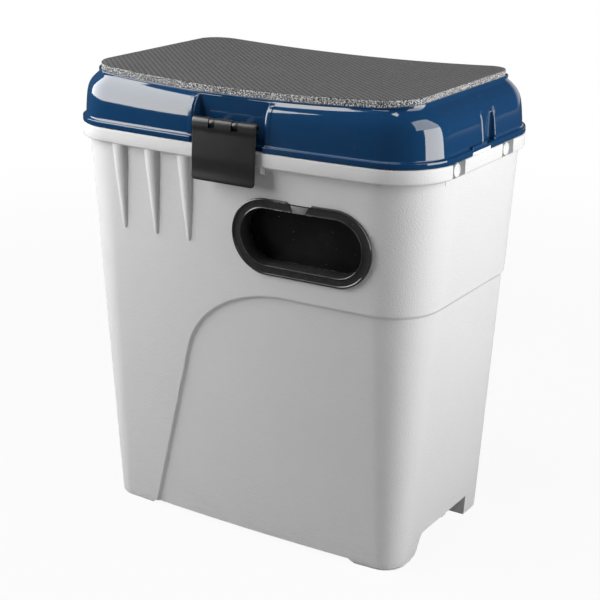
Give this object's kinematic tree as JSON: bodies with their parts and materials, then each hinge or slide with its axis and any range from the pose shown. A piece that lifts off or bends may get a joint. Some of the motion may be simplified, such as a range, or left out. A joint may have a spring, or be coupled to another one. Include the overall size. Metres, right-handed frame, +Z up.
{
  "type": "fishing seat box",
  "caption": "Tapered plastic fishing box with a padded lid as a seat, a front latch, a front hatch and a lift-out tray.",
  "frame": {"origin": "on the floor, under the middle of the box's overall length and depth", "axes": "+Z up, +X to the right seen from the front and along the box's length, +Y to the back where the lid hinge is; the latch and the hatch face -Y"},
  "size_m": [0.37, 0.2532, 0.421],
  "materials": {
    "tub_plastic": "light grey polypropylene with a fine moulded grain",
    "lid_plastic": "deep blue, smooth and glossy",
    "pad_fabric": "grey woven cover on foam, with a speckled cut edge",
    "latch_plastic": "dark grey, satin",
    "hatch_plastic": "black, glossy",
    "tray_plastic": "mid grey polypropylene",
    "steel": "bright wire and screws"
  },
  "bodies": {
    "tub": {"tub": "tub_plastic", "hinge_pin_left": "steel", "hinge_pin_right": "steel", "strap_stud_left_front": "tub_plastic", "strap_stud_left_rear": "tub_plastic", "strap_stud_right_front": "tub_plastic", "strap_stud_right_rear": "tub_plastic", "hatch_frame": "hatch_plastic", "hatch_ring": "hatch_plastic", "hatch_pin": "steel", "hatch_screw_1": "steel", "hatch_screw_2": "steel", "hatch_screw_3": "steel", "hatch_screw_4": "steel"},
    "lid": {"lid": "lid_plastic", "seat_pad": "pad_fabric", "latch_pin": "steel"},
    "latch": {"latch": "latch_plastic"},
    "hatch_flap": {"hatch_flap": "hatch_plastic"},
    "tray": {"tray": "tray_plastic", "tray_divider_1": "tray_plastic", "tray_divider_2": "tray_plastic", "tray_divider_3": "tray_plastic"}
  },
  "joints": [
    {"name": "lid_hinge", "type": "hinge", "parent": "tub", "child": "lid", "pos_m": [0, 0.12211, 0.36765], "axis": [-1, 0, 0], "range_deg": [0, 105]},
    {"name": "latch_hinge", "type": "hinge", "parent": "lid", "child": "latch", "pos_m": [0, -0.11939, 0.3875], "axis": [-1, 0, 0], "range_deg": [-3.5, 110]},
    {"name": "flap_hinge", "type": "hinge", "parent": "tub", "child": "hatch_flap", "pos_m": [0.0677, -0.09567, 0.32594], "axis": [0.9998, 0.0214, 0], "range_deg": [0, 75]},
    {"name": "tray_lift", "type": "slide", "parent": "tub", "child": "tray", "axis": [0, 0, 1], "range_m": [0, 0.035]}
  ]
}
